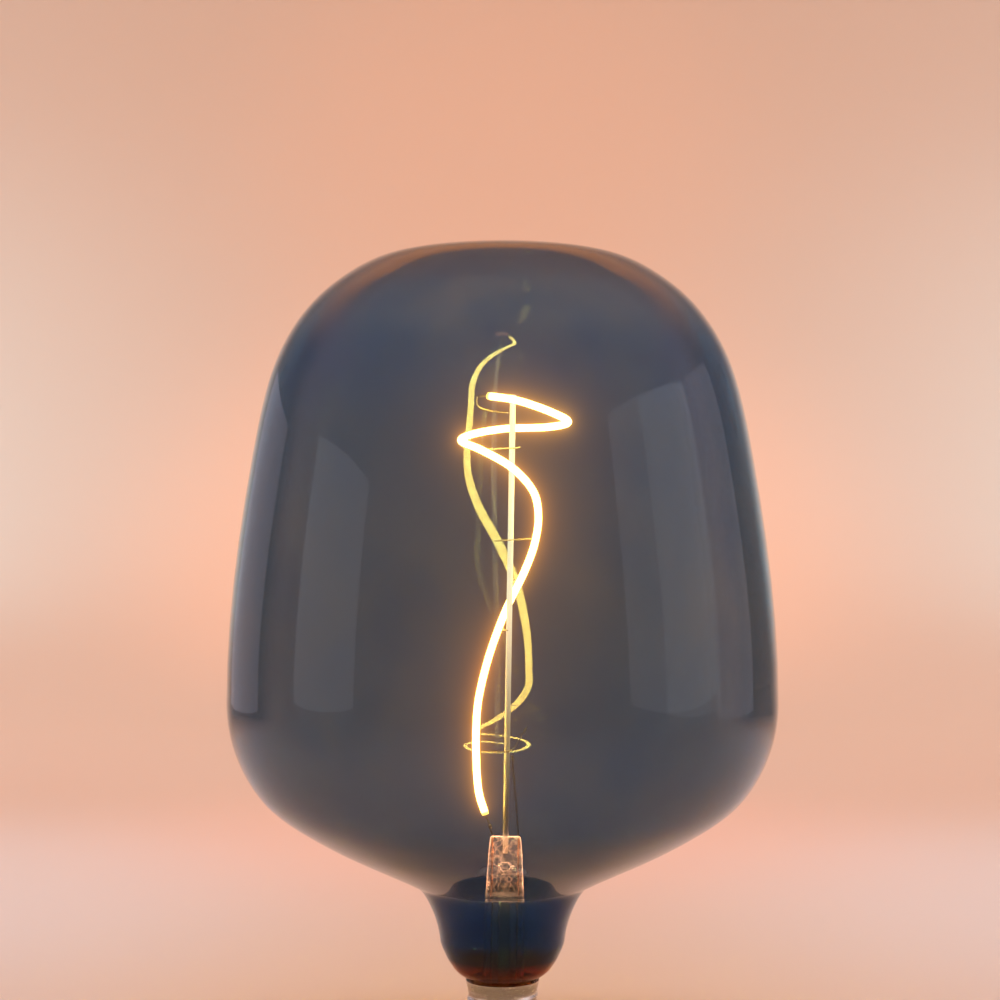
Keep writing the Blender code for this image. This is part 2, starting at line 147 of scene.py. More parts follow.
# How strongly each lit piece glows, and the heights in metres between which the looks change. The post's
# and the press's glow is painted light from the filament.
FILAMENT_GLOW = 260.0
TIP_GLOW = 0.03  # share of the filament's glow that its tips keep
TIP_FADE = (0.0012, 0.0036)  # metres from the tip
POST_PAINTED_GLOW = 4.0
POST_PAINTED_GLOW_HEIGHTS = (0.090, 0.240)
PRESS_PAINTED_GLOW = 8.0
PRESS_PAINTED_GLOW_HEIGHTS = (0.020, 0.080)
GLASS_TINT_HEIGHTS = (0.020, 0.294)

# E27 screw cap.
CAP_RIM_RADIUS = 13.4
CAP_HEIGHT = 27.0
THREAD_PITCH = 3.629
THREAD_MAJOR_RADIUS = 13.1
THREAD_MINOR_RADIUS = 12.2
THREAD_BOTTOM = 8.0
THREAD_TOP = 23.5
SHELL_SHEET = 0.25
SHELL_STEPS = 144
ROWS_PER_TURN = 20

# The round room: flat floor, cove, wall, and a domed ceiling.
FLOOR_CENTRE_RADIUS = 20.0
FLOOR_MIDDLE_RADIUS = 600.0
FLOOR_RADIUS = 1100.0
COVE_RADIUS = 900.0
WALL_TOP = 2000.0
ROOM_STEPS = 96

LAMP_MIDDLE = 0.16  # metres; the softboxes face it

# The dark card behind the lamp, in metres and in degrees away from straight behind it.
FLAG_DISTANCE = 1.35
FLAG_SPAN = (20.0, 40.0, 62.0, 82.0)  # fades in over the first two angles and out over the last two
FLAG_TOP = (0.75, 1.30)
FLAG_FLOOR = (0.55, 1.15)  # on the floor it fades out between these radii
FLAG_COVER = 0.80
FLAG_LIFT = 0.004  # over the floor
FLAG_COLUMNS = 90

# Camera: place in metres, lens and sensor in millimetres.
CAMERA_PLACE = (-0.0009, -0.764, 0.2017)
CAMERA_LENS = 75.4
CAMERA_SENSOR = 36.0


def ride(obj, slot, *nodes):
    """The piece rides on the lamp's one body and stands for the nodes it is named with."""
    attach(obj, "root")
    if nodes:
        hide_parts(*nodes)
    return obj


def add_object(name, data):
    obj = bpy.data.objects.new(name, data)
    bpy.context.scene.collection.objects.link(obj)
    return obj


def arc_between(start, end, facet_angle):
    turn = math.radians(abs(end[2] - start[2]))
    first, last = Vector(start[:2]), Vector(end[:2])
    chord = (last - first).length
    handle = chord / 3
    if turn > 0.001:
        handle = chord * (4 / 3) * math.tan(turn / 4) / (2 * math.sin(turn / 2))
    headings = [math.radians(station[2]) for station in (start, end)]
    out, back = [Vector((math.cos(heading), math.sin(heading))) * handle for heading in headings]
    count = max(6, math.ceil(math.degrees(turn) / facet_angle))
    points = []
    for i in range(1, count + 1):
        t = i / count
        u = 1 - t
        near, far = 3 * u * u * t * (first + out), 3 * u * t * t * (last - back)
        points.append(u**3 * first + near + far + t**3 * last)
    return points


def outline(stations, facet_angle):
    points = [Vector(stations[0][:2])]
    for start, end in zip(stations, stations[1:]):
        points += arc_between(start, end, facet_angle)
    return points


def offset_outline(points, distance):
    """The outline moved inwards by the glass's wall."""
    moved = []
    for i, point in enumerate(points):
        before, after = points[max(i - 1, 0)], points[min(i + 1, len(points) - 1)]
        along = (after - before).normalized()
        inward = Vector((along.y, -along.x))
        moved.append(point + inward * distance)
    moved[0].x = 0.0
    return moved


def revolve(name, profile, steps, shape=None):
    """Turns a closed profile of (radius, height) round Z.

    shape(radius, height, angle) may change the radius.
    """
    bm = bmesh.new()
    rings = []
    for radius, height in profile:
        if radius < 1e-6:
            rings.append([bm.verts.new((0.0, 0.0, height * MM))])
            continue
        ring = []
        for i in range(steps):
            angle = 2 * math.pi * i / steps
            r = shape(radius, height, angle) if shape else radius
            ring.append(bm.verts.new((r * math.cos(angle) * MM, r * math.sin(angle) * MM, height * MM)))
        rings.append(ring)
    for upper, lower in zip(rings, rings[1:] + rings[:1]):
        if len(upper) == 1 and len(lower) == 1:
            continue
        for i in range(steps):
            j = (i + 1) % steps
            corners = [upper[j % len(upper)], upper[i % len(upper)]]
            corners += [lower[i % len(lower)], lower[j % len(lower)]]
            bm.faces.new(list(dict.fromkeys(corners)))
    bmesh.ops.recalc_face_normals(bm, faces=bm.faces)
    mesh = bpy.data.meshes.new(name)
    bm.to_mesh(mesh)
    bm.free()
    mesh.shade_smooth()
    mesh.set_sharp_from_angle(angle=math.radians(50))
    return add_object(name, mesh)


def on_mount(x, y, z):
    """A point by its offset from the post and its height, in metres after the mount's lean."""
    lean = Matrix.Rotation(math.radians(MOUNT_LEAN), 3, "Y")
    return (lean @ Vector((x, y, z - SEAL_HEIGHT)) + Vector((MOUNT_OFFSET, 0.0, SEAL_HEIGHT))) * MM


def on_filament(angle, radius, height):
    turn = math.radians(angle)
    return on_mount(radius * math.cos(turn), radius * math.sin(turn), height)


def catmull_rom(a, b, c, d, t):
    """A point between b and c."""
    square, cube = 2 * a - 5 * b + 4 * c - d, 3 * b - a - 3 * c + d
    return 0.5 * (2 * b + (c - a) * t + square * t**2 + cube * t**3)


def smooth_path(stations, count):
    """Points evenly spaced along a smooth curve through the stations."""
    knots = [2 * stations[0] - stations[1], *stations, 2 * stations[-1] - stations[-2]]
    dense = []
    for a, b, c, d in zip(knots, knots[1:], knots[2:], knots[3:]):
        dense += [catmull_rom(a, b, c, d, i / PATH_SUBDIVISIONS) for i in range(PATH_SUBDIVISIONS)]
    dense.append(stations[-1])
    lengths = [0.0]
    for p, q in zip(dense, dense[1:]):
        lengths.append(lengths[-1] + (q - p).length)
    path, at = [], 0
    for i in range(count):
        want = lengths[-1] * i / (count - 1)
        while at < len(dense) - 2 and lengths[at + 1] < want:
            at += 1
        share = (want - lengths[at]) / (lengths[at + 1] - lengths[at])
        path.append(dense[at].lerp(dense[at + 1], min(share, 1.0)))
    return path


def rod(name, points, radius, sides=6):
    curve = bpy.data.curves.new(name, "CURVE")
    curve.dimensions = "3D"
    curve.bevel_depth = radius * MM
    curve.bevel_resolution = sides
    curve.use_fill_caps = True
    spline = curve.splines.new("POLY")
    spline.points.add(len(points) - 1)
    for target, point in zip(spline.points, points):
        target.co = (*point, 1.0)
    spline.use_smooth = True
    return add_object(name, curve)


# ---------------------------------------------------------------- materials

BLACK = (0.0, 0.0, 0.0)
WHITE = (1.0, 1.0, 1.0)


def new_material(name):
    material = bpy.data.materials.new(name)
    material.use_nodes = True
    tree = material.node_tree
    return material, tree, tree.nodes["Principled BSDF"]


def add_noise(tree, scale, detail, stretch=(1, 1, 1)):
    """Noise in the object's own metres, stretched along its axes."""
    coords = tree.nodes.new("ShaderNodeTexCoord")
    mapping = tree.nodes.new("ShaderNodeMapping")
    mapping.inputs["Scale"].default_value = stretch
    noise = tree.nodes.new("ShaderNodeTexNoise")
    noise.inputs["Scale"].default_value = scale
    noise.inputs["Detail"].default_value = detail
    tree.links.new(coords.outputs["Object"], mapping.inputs["Vector"])
    tree.links.new(mapping.outputs["Vector"], noise.inputs["Vector"])
    return noise.outputs["Fac"]


def add_ramp(tree, source, *stops):
    ramp = tree.nodes.new("ShaderNodeValToRGB")
    while len(ramp.color_ramp.elements) < len(stops):
        ramp.color_ramp.elements.new(0.5)
    for element, (position, colour) in zip(ramp.color_ramp.elements, stops):
        element.position = position
        element.color = (*colour, 1.0)
    tree.links.new(source, ramp.inputs["Fac"])
    return ramp.outputs["Color"]


def add_range(tree, source, low, high):
    """The source, from 0 to 1, mapped to low to high."""
    mapped = tree.nodes.new("ShaderNodeMapRange")
    mapped.inputs["To Min"].default_value = low
    mapped.inputs["To Max"].default_value = high
    tree.links.new(source, mapped.inputs["Value"])
    return mapped.outputs["Result"]


def add_product(tree, colour, factor):
    product = tree.nodes.new("ShaderNodeVectorMath")
    product.operation = "MULTIPLY"
    tree.links.new(colour, product.inputs[0])
    tree.links.new(factor, product.inputs[1])
    return product.outputs["Vector"]


def add_bump(tree, shader, source, distance, strength=1.0):
    bump = tree.nodes.new("ShaderNodeBump")
    bump.inputs["Distance"].default_value = distance
    bump.inputs["Strength"].default_value = strength
    tree.links.new(source, bump.inputs["Height"])
    tree.links.new(bump.outputs["Normal"], shader.inputs["Normal"])


def add_height(tree, low, high):
    """0 to 1 between two heights of the object, in metres."""
    coords = tree.nodes.new("ShaderNodeTexCoord")
    split = tree.nodes.new("ShaderNodeSeparateXYZ")
    height = tree.nodes.new("ShaderNodeMapRange")
    height.inputs["From Min"].default_value = low
    height.inputs["From Max"].default_value = high
    tree.links.new(coords.outputs["Object"], split.inputs["Vector"])
    tree.links.new(split.outputs["Z"], height.inputs["Value"])
    return height.outputs["Result"]


def mix_surfaces(tree, factor, first, second):
    """The material's surface: the first shader where the factor is 0, the second where it is 1."""
    mix = tree.nodes.new("ShaderNodeMixShader")
    tree.links.new(factor, mix.inputs["Fac"])
    tree.links.new(first.outputs["BSDF"], mix.inputs[1])
    tree.links.new(second.outputs["BSDF"], mix.inputs[2])
    tree.links.new(mix.outputs["Shader"], tree.nodes["Material Output"].inputs["Surface"])


def let_light_through(tree, shader, colour):
    """Lamps shine through the glass with this colour, on what stands in it and behind it."""
    path = tree.nodes.new("ShaderNodeLightPath")
    through = tree.nodes.new("ShaderNodeBsdfTransparent")
    through.inputs["Color"].default_value = (*colour, 1.0)
    mix_surfaces(tree, path.outputs["Is Shadow Ray"], shader, through)


def solid_material(name, colours, roughness, metallic, scale, bump=0.0, stretch=(1, 1, 1), coat=0.0):
    """A surface whose colour drifts between two tones and whose roughness varies, with a fine bump."""
    material, tree, shader = new_material(name)
    noise = add_noise(tree, scale, 5.0, stretch)
    tree.links.new(add_ramp(tree, noise, (0.3, colours[0]), (0.7, colours[1])), shader.inputs["Base Color"])
    tree.links.new(add_range(tree, noise, *roughness), shader.inputs["Roughness"])
    shader.inputs["Metallic"].default_value = metallic
    shader.inputs["Coat Weight"].default_value = coat
    if bump:
        add_bump(tree, shader, noise, bump)
    return material


def smoked_glass():
    """Thin blown glass with a smoky coat, blue in the neck. The amber where the neck closes in is a painted
    glow: the filament's light on the seal and cement at the neck's foot, seen through the glass, put into
    the glass's colour.
    """
    material, tree, shader = new_material("smoked_glass")
    height = add_height(tree, *GLASS_TINT_HEIGHTS)
    tint = add_ramp(
        tree,
        height,
        # Painted glow: the two amber stops stand for the filament's light on the seal and cement at the
        # neck's foot.
        (0.0, (0.62, 0.13, 0.03)),
        (0.042, (0.58, 0.12, 0.03)),
        (0.058, (0.055, 0.13, 0.25)),
        (0.12, (0.055, 0.18, 0.36)),
        (0.20, (0.24, 0.36, 0.48)),
        (0.50, (0.25, 0.355, 0.45)),
        (0.75, (0.215, 0.35, 0.49)),
        (0.86, (0.235, 0.385, 0.57)),
        (0.93, (0.37, 0.50, 0.65)),
        (1.0, (0.34, 0.46, 0.60)),
    )
    gloss = add_ramp(tree, height, (0.16, (0.40, 0.65, 1.0)), (0.22, WHITE))
    tree.links.new(gloss, shader.inputs["Specular Tint"])
    mottle = add_noise(tree, 42.0, 3.0, (1, 1, 0.6))
    clouds = add_ramp(tree, mottle, (0.34, (0.70, 0.86, 0.97)), (0.66, (1.0, 1.0, 0.98)))
    edge = tree.nodes.new("ShaderNodeLayerWeight")
    rim = add_ramp(tree, edge.outputs["Facing"], (0.45, WHITE), (0.66, (0.78, 0.76, 0.78)))
    # The coating's colour, with the painted amber glow at the neck's foot.
    coating_and_painted_glow = add_product(tree, add_product(tree, tint, clouds), rim)
    tree.links.new(coating_and_painted_glow, shader.inputs["Base Color"])
    shader.inputs["Roughness"].default_value = 0.0
    shader.inputs["IOR"].default_value = 1.5
    shader.inputs["Transmission Weight"].default_value = 1.0
    add_bump(tree, shader, add_noise(tree, 14.0, 0.0, (1, 1, 0.35)), 0.0004, 0.2)
    let_light_through(tree, shader, (0.27, 0.34, 0.43))
    return material


def post_with_painted_glow():
    """Bright drawn wire with a painted glow: emission stands for the filament's light, which burns it out
    white beside the filament, and it is dark again below it.
    """
    tones = ((0.84, 0.82, 0.80), (0.95, 0.93, 0.92))
    material = solid_material("nickel_post", tones, (0.45, 0.6), 0.2, 900.0, 0.00001, (1, 1, 0.05))
    tree = material.node_tree
    shader = tree.nodes["Principled BSDF"]
    # Painted light: the post is no lamp, but glows by height where the filament's light falls on it.
    glow = add_ramp(
        tree,
        add_height(tree, *POST_PAINTED_GLOW_HEIGHTS),
        (0.0, BLACK),
        (0.20, (0.25, 0.13, 0.05)),
        (0.50, (1.0, 0.60, 0.30)),
        (1.0, (1.0, 0.56, 0.22)),
    )
    tree.links.new(glow, shader.inputs["Emission Color"])
    shader.inputs["Emission Strength"].default_value = POST_PAINTED_GLOW
    return material


def clear_glass():
    """Pressed lead glass. The filament's light piped down into the press is painted in: amber lines glow at
    its edges, though the glass is no lamp.
    """
    material, tree, shader = new_material("stem_glass")
    noise = add_noise(tree, 120.0, 2.0)
    tones = add_ramp(tree, noise, (0.3, (0.90, 0.95, 0.93)), (0.7, (0.97, 0.98, 0.97)))
    tree.links.new(tones, shader.inputs["Base Color"])
    shader.inputs["Roughness"].default_value = 0.01
    shader.inputs["IOR"].default_value = 1.54
    shader.inputs["Transmission Weight"].default_value = 0.95
    add_bump(tree, shader, noise, 0.0006, 0.6)
    edge = tree.nodes.new("ShaderNodeLayerWeight")
    edges = add_ramp(tree, edge.outputs["Facing"], (0.18, (0.03, 0.03, 0.03)), (0.70, WHITE))
    swirl = add_noise(tree, 330.0, 1.0)
    curves = add_ramp(tree, swirl, (0.44, BLACK), (0.50, (0.30, 0.30, 0.30)), (0.56, BLACK))
    lines = tree.nodes.new("ShaderNodeVectorMath")
    tree.links.new(edges, lines.inputs[0])
    tree.links.new(curves, lines.inputs[1])
    # Painted light: amber emission on the press's edges stands for the filament's light piped down the
    # glass.
    amber = add_ramp(
        tree,
        add_height(tree, *PRESS_PAINTED_GLOW_HEIGHTS),
        (0.62, BLACK),
        (0.72, (1.0, 0.27, 0.09)),
        (1.0, (1.0, 0.30, 0.11)),
    )
    tree.links.new(add_product(tree, amber, lines.outputs["Vector"]), shader.inputs["Emission Color"])
    shader.inputs["Emission Strength"].default_value = PRESS_PAINTED_GLOW
    let_light_through(tree, shader, (0.92, 0.93, 0.92))
    return material


def away_from(tree, coords, point, low):
    """0 to 1: low at the point, full from a little way off it."""
    away = tree.nodes.new("ShaderNodeVectorMath")
    away.operation = "DISTANCE"
    away.inputs[1].default_value = point
    tree.links.new(coords, away.inputs[0])
    lit = tree.nodes.new("ShaderNodeMapRange")
    lit.interpolation_type = "SMOOTHSTEP"
    lit.inputs["From Min"].default_value = TIP_FADE[0]
    lit.inputs["From Max"].default_value = TIP_FADE[1]
    lit.inputs["To Min"].default_value = low
    tree.links.new(away.outputs["Value"], lit.inputs["Value"])
    return lit.outputs["Result"]


def glowing_phosphor():
    """Warm phosphor silicone, lit: no chips lie under its two tips, which only glow dimly."""
    material, tree, shader = new_material("led_filament")
    noise = add_noise(tree, 260.0, 2.0)
    glow = add_ramp(tree, noise, (0.3, (1.0, 0.37, 0.045)), (0.7, (1.0, 0.43, 0.06)))
    coords = tree.nodes.new("ShaderNodeTexCoord").outputs["Object"]
    for station in (FILAMENT_STATIONS[0], FILAMENT_STATIONS[-1]):
        glow = add_product(tree, glow, away_from(tree, coords, on_filament(*station), TIP_GLOW))
    tree.links.new(glow, shader.inputs["Emission Color"])
    silicone = add_ramp(tree, noise, (0.3, (0.90, 0.62, 0.20)), (0.7, (0.95, 0.72, 0.30)))
    tree.links.new(silicone, shader.inputs["Base Color"])
    shader.inputs["Roughness"].default_value = 0.4
    shader.inputs["Emission Strength"].default_value = FILAMENT_GLOW
    return material


# Plain materials: two tones, roughness from and to, then metallic, noise scale, bump in metres and so on.
SOLID_MATERIALS = {
    "nickel_wire": (((0.50, 0.47, 0.43), (0.66, 0.63, 0.59)), (0.25, 0.45), 1.0, 1500.0),
    "solder": (((0.50, 0.50, 0.48), (0.72, 0.72, 0.70)), (0.3, 0.5), 1.0, 900.0, 0.00003),
    "copper_wire": (((0.62, 0.28, 0.14), (0.83, 0.46, 0.30)), (0.25, 0.45), 1.0, 700.0),
    "cap_metal": (((0.62, 0.60, 0.56), (0.74, 0.72, 0.68)), (0.16, 0.34), 1.0, 500.0, 0.00001, (1, 1, 6)),
    "black_insulator": (((0.015, 0.015, 0.017), (0.035, 0.034, 0.036)), (0.08, 0.25), 0.0, 300.0, 0.00002),
    "cement": (((0.50, 0.44, 0.35), (0.70, 0.65, 0.56)), (0.7, 0.95), 0.0, 1400.0, 0.0001),
    "circuit_board": (
        ((0.02, 0.12, 0.05), (0.04, 0.22, 0.10)), (0.25, 0.45), 0.0, 800.0, 0.00001, (1, 1, 1), 0.5
    ),
    "tin_can": (((0.58, 0.58, 0.56), (0.74, 0.74, 0.72)), (0.25, 0.42), 1.0, 600.0),
    "black_resin": (((0.02, 0.02, 0.02), (0.05, 0.05, 0.05)), (0.4, 0.6), 0.0, 2500.0, 0.00003),
    "capacitor_sleeve": (((0.03, 0.04, 0.09), (0.05, 0.07, 0.13)), (0.2, 0.4), 0.0, 500.0),
    "resistor_coat": (((0.22, 0.36, 0.52), (0.32, 0.47, 0.62)), (0.3, 0.5), 0.0, 900.0, 0.00002),
}


def make_materials():
    materials = {
        "smoked_glass": smoked_glass(),
        "stem_glass": clear_glass(),
        "led_filament": glowing_phosphor(),
        "nickel_post": post_with_painted_glow(),
    }
    for name, look in SOLID_MATERIALS.items():
        materials[name] = solid_material(name, *look)
    return materials


# ---------------------------------------------------------------- pieces

def globe_wave(radius, height, angle):
    """Slow unevenness of hand-blown glass, always inwards, gone at the neck."""
    share = min(1.0, max(0.0, (height - 60.0) / 40.0))
    wave = math.sin(3 * angle + 0.021 * height) + 0.6 * math.sin(5 * angle - 0.034 * height + 1.3)
    return radius - share * 0.05 * (1.6 + wave) * min(1.0, radius / 40.0)


def make_envelope(materials):
    outside = outline(GLOBE_STATIONS, GLOBE_FACET)
    inside = offset_outline(outside, GLASS_WALL)
    profile = [tuple(p) for p in outside] + [tuple(p) for p in reversed(inside)]
    globe = revolve("envelope", profile, GLOBE_STEPS, globe_wave)
    globe.data.materials.append(materials["smoked_glass"])
    ride(globe, "smoked_glass", "glass_envelope")


def refine_sections(sections, spacing):
    """Sections between the given ones, at most the spacing apart in height."""
    rows = [sections[0]]
    for start, end in zip(sections, sections[1:]):
        count = max(1, math.ceil(abs(end[0] - start[0]) / spacing))
        rows += [[a + (b - a) * i / count for a, b in zip(start, end)] for i in range(1, count + 1)]
    return rows


def press_dent(x, height):
    """How deep the press jaws and the blown hole mark the flat faces of the stem's press."""
    away = math.hypot(x, height - BLOW_HOLE_HEIGHT)
    hole = BLOW_HOLE_DEPTH / (1 + math.exp((away - BLOW_HOLE_RADIUS + 0.4) / 0.15))
    lip = -BLOW_HOLE_LIP * math.exp(-(((away - BLOW_HOLE_RADIUS - 0.35) / 0.5) ** 2))
    jaw_marks = 0.0
    if height > JAW_MARKS_FOOT:
        jaw_marks = JAW_MARK_DEPTH * math.cos(2 * math.pi * (height + 0.12 * x * x) / JAW_MARK_PITCH)
    ripple = 0.18 * math.sin(1.9 * x + 1.3 * height) * math.sin(1.1 * x - 0.9 * height)
    return hole + lip + jaw_marks + ripple


def superellipse(height, half_width, half_depth, squareness, dented=False):
    ring = []
    for i in range(STEM_SIDES):
        angle = 2 * math.pi * (i + 0.5) / STEM_SIDES
        c, s = math.cos(angle), math.sin(angle)
        x = math.copysign(abs(c) ** (2 / squareness), c) * half_width
        y = math.copysign(abs(s) ** (2 / squareness), s) * half_depth
        if dented and height > PRESS_FOOT:
            flat = (abs(y) / half_depth) ** 4
            y -= math.copysign(press_dent(x, height) * flat, y)
        ring.append(on_mount(x, y, height))
    return ring


def make_stem(materials):
    bm = bmesh.new()
    rows = [superellipse(*section, dented=True) for section in refine_sections(STEM_SECTIONS, STEM_ROW)]
    rows += [superellipse(*section) for section in refine_sections(FLARE_BORE, BORE_ROW)]
    rings = [[bm.verts.new(p) for p in row] for row in rows]
    for upper, lower in zip(rings, rings[1:]):
        for i in range(STEM_SIDES):
            j = (i + 1) % STEM_SIDES
            bm.faces.new((upper[j], upper[i], lower[i], lower[j]))
    bm.faces.new(rings[0])
    bm.faces.new(reversed(rings[-1]))
    mesh = bpy.data.meshes.new("stem")
    bm.to_mesh(mesh)
    bm.free()
    mesh.shade_smooth()
    mesh.set_sharp_from_angle(angle=math.radians(60))
    stem = add_object("stem", mesh)
    stem.data.materials.append(materials["stem_glass"])
    ride(stem, "stem_glass", "stem_glass")


def make_filament(materials):
    stations = [on_filament(*station) for station in FILAMENT_STATIONS]
    strip = rod("filament", smooth_path(stations, FILAMENT_POINTS), FILAMENT_RADIUS)
    strip.data.materials.append(materials["led_filament"])
    ride(strip, "led_filament", "led_filament")


def make_post(materials):
    post = rod("post", [on_mount(0, 0, height) for height in POST_HEIGHTS], POST_RADIUS, 8)
    post.data.materials.append(materials["nickel_post"])
    ride(post, "nickel_post", "support_post")


def thread_radius(radius, height, angle):
    """The rolled shell: a right-hand thread that fades out at both ends."""
    if not THREAD_BOTTOM < height < THREAD_TOP:
        return radius
    depth = (THREAD_MAJOR_RADIUS - THREAD_MINOR_RADIUS) / 2
    wave = math.cos(2 * math.pi * height / THREAD_PITCH - angle)
    fade = min(1.0, (height - THREAD_BOTTOM) / THREAD_PITCH, (THREAD_TOP - height) / THREAD_PITCH)
    return radius + depth * wave * fade


def make_screw_shell(materials):
    mean = (THREAD_MAJOR_RADIUS + THREAD_MINOR_RADIUS) / 2
    rows = round((THREAD_TOP - THREAD_BOTTOM) / THREAD_PITCH * ROWS_PER_TURN)
    spacing = (THREAD_TOP - THREAD_BOTTOM) / rows
    outside = [(CAP_RIM_RADIUS, CAP_HEIGHT), (CAP_RIM_RADIUS, 26.7)]
    outside += [(13.25, 26.1), (12.95, 24.6), (12.75, 24.0)]
    outside += [(mean, THREAD_TOP - i * spacing) for i in range(rows + 1)]
    outside += [(12.45, 7.7), (12.15, 7.4), (11.7, 7.2), (11.4, 7.1)]
    inside = [(radius - SHELL_SHEET, height + 0.02) for radius, height in outside]
    shell = revolve("screw_cap", outside + inside[::-1], SHELL_STEPS, thread_radius)
    shell.data.materials.append(materials["cap_metal"])
    ride(shell, "cap_metal", "screw_shell")


def make_base(materials):
    insulator = [(10.7, 8.8), (10.7, 7.3), (10.55, 6.9), (10.2, 6.4), (9.0, 5.0), (7.6, 3.4)]
    insulator += [(6.2, 1.95), (5.9, 1.7), (5.6, 1.55), (5.2, 1.5), (2.0, 1.5)]
    insulator += [(2.0, 4.4), (3.4, 4.8), (8.8, 7.6), (9.3, 8.8)]
    base = revolve("base_insulator", insulator, 96)
    base.data.materials.append(materials["black_insulator"])
    ride(base, "black_insulator", "cap_insulator")
    rivet = [(0.0, 3.2), (1.5, 3.2), (1.5, 1.2), (4.5, 1.2), (4.7, 1.05), (4.68, 0.85)]
    rivet += [(4.45, 0.5), (4.1, 0.2), (3.6, 0.0), (0.0, 0.0)]
    contact = revolve("base_contact", rivet, 64)
    contact.data.materials.append(materials["solder"])
    ride(contact, "solder", "centre_contact")


def paint_cad_nodes(materials):
    """Gives each node that still shows the material of its own slot."""
    for part in frame["record"]["subparts"]:
        node = NODES[part["node"]]
        node.data.materials.clear()
        node.data.materials.append(materials[part["material_slot"]])
        node.data.shade_smooth()
        node.data.set_sharp_from_angle(angle=math.radians(40))


# ---------------------------------------------------------------- stage

def quarter_turn(steps=24):
    """Angles from 0 to 90 degrees, in radians."""
    return [math.radians(90 * i / steps) for i in range(steps + 1)]


def make_room():
    """A pale floor that rises all round into a wall and closes over as a ceiling, with no horizon."""
    profile = [(FLOOR_CENTRE_RADIUS, 0.0), (FLOOR_MIDDLE_RADIUS, 0.0)]
    for t in quarter_turn():
        profile.append((FLOOR_RADIUS + COVE_RADIUS * math.sin(t), COVE_RADIUS * (1 - math.cos(t))))
    for t in quarter_turn():
        profile.append((FLOOR_RADIUS + COVE_RADIUS * math.cos(t), WALL_TOP + COVE_RADIUS * math.sin(t)))
    profile.append((FLOOR_CENTRE_RADIUS, WALL_TOP + COVE_RADIUS))
    verts, faces = [], []
    for radius, height in profile:
        for i in range(ROOM_STEPS):
            angle = 2 * math.pi * i / ROOM_STEPS
            verts.append((radius * math.cos(angle) * MM, radius * math.sin(angle) * MM, height * MM))
    for k in range(len(profile) - 1):
        lower, upper = k * ROOM_STEPS, (k + 1) * ROOM_STEPS
        for i in range(ROOM_STEPS):
            j = (i + 1) % ROOM_STEPS
            faces.append((lower + i, lower + j, upper + j, upper + i))
    faces.append(tuple(reversed(range(ROOM_STEPS))))
    room = bpy.data.meshes.new("room")
    room.from_pydata(verts, [], faces)
    room.shade_smooth()
    floor = add_object("room", room)
    material, tree, shader = new_material("pale_room")
    shader.inputs["Base Color"].default_value = (0.68, 0.61, 0.555, 1.0)
    shader.inputs["Roughness"].default_value = 0.9
    shader.inputs["Specular IOR Level"].default_value = 0.1
    room.materials.append(material)


def place_light(name, light, position, target, glossy):
    obj = add_object(name, light)
    obj.location = position
    obj.rotation_euler = (Vector(target) - Vector(position)).to_track_quat("-Z", "Y").to_euler()
    obj.visible_camera = False
    obj.visible_transmission = False
    obj.visible_glossy = glossy
    return obj


def add_area(name, position, target, size, power, colour, glossy=False):
    light = bpy.data.lights.new(name, "AREA")
    light.shape = "RECTANGLE"
    light.size, light.size_y = size
    light.energy = power
    light.color = colour
    place_light(name, light, position, target, glossy)


def add_spot(name, position, target, angle, power, colour):
    light = bpy.data.lights.new(name, "SPOT")
    light.spot_size = math.radians(angle)
    light.spot_blend = 1.0
    light.shadow_soft_size = 0.1
    light.energy = power
    light.color = colour
    place_light(name, light, position, target, False)


def softbox(name, azimuth, elevation, distance, size, power, colour):
    """A softbox round the lamp: azimuth 0 is towards the camera, positive to the left of the picture."""
    turn, rise = math.radians(azimuth), math.radians(elevation)
    flat = distance * math.cos(rise)
    position = (-flat * math.sin(turn), -flat * math.cos(turn), LAMP_MIDDLE + distance * math.sin(rise))
    add_area(name, position, (0.0, 0.0, LAMP_MIDDLE), size, power, colour, glossy=True)


def fade(value, low, high):
    """Smooth step from 0 at low to 1 at high."""
    t = min(1.0, max(0.0, (value - low) / (high - low)))
    return t * t * (3 - 2 * t)


def floor_height(radius):
    """Height of the room's floor, which rises into the cove, in metres."""
    into_cove = max(0.0, radius - FLOOR_RADIUS * MM)
    return COVE_RADIUS * MM - math.sqrt((COVE_RADIUS * MM) ** 2 - into_cove**2)


def flag_cover(point):
    """How much of the backdrop the card hides at a point of it: most at the sides, none straight behind."""
    x, y, z = point
    away = math.degrees(math.acos(y / math.sqrt(x * x + y * y + (z - LAMP_MIDDLE) ** 2)))
    sideways = fade(away, *FLAG_SPAN[:2]) * (1 - fade(away, *FLAG_SPAN[2:]))
    return FLAG_COVER * sideways * (1 - fade(z, *FLAG_TOP)) * fade(math.hypot(x, y), *FLAG_FLOOR)


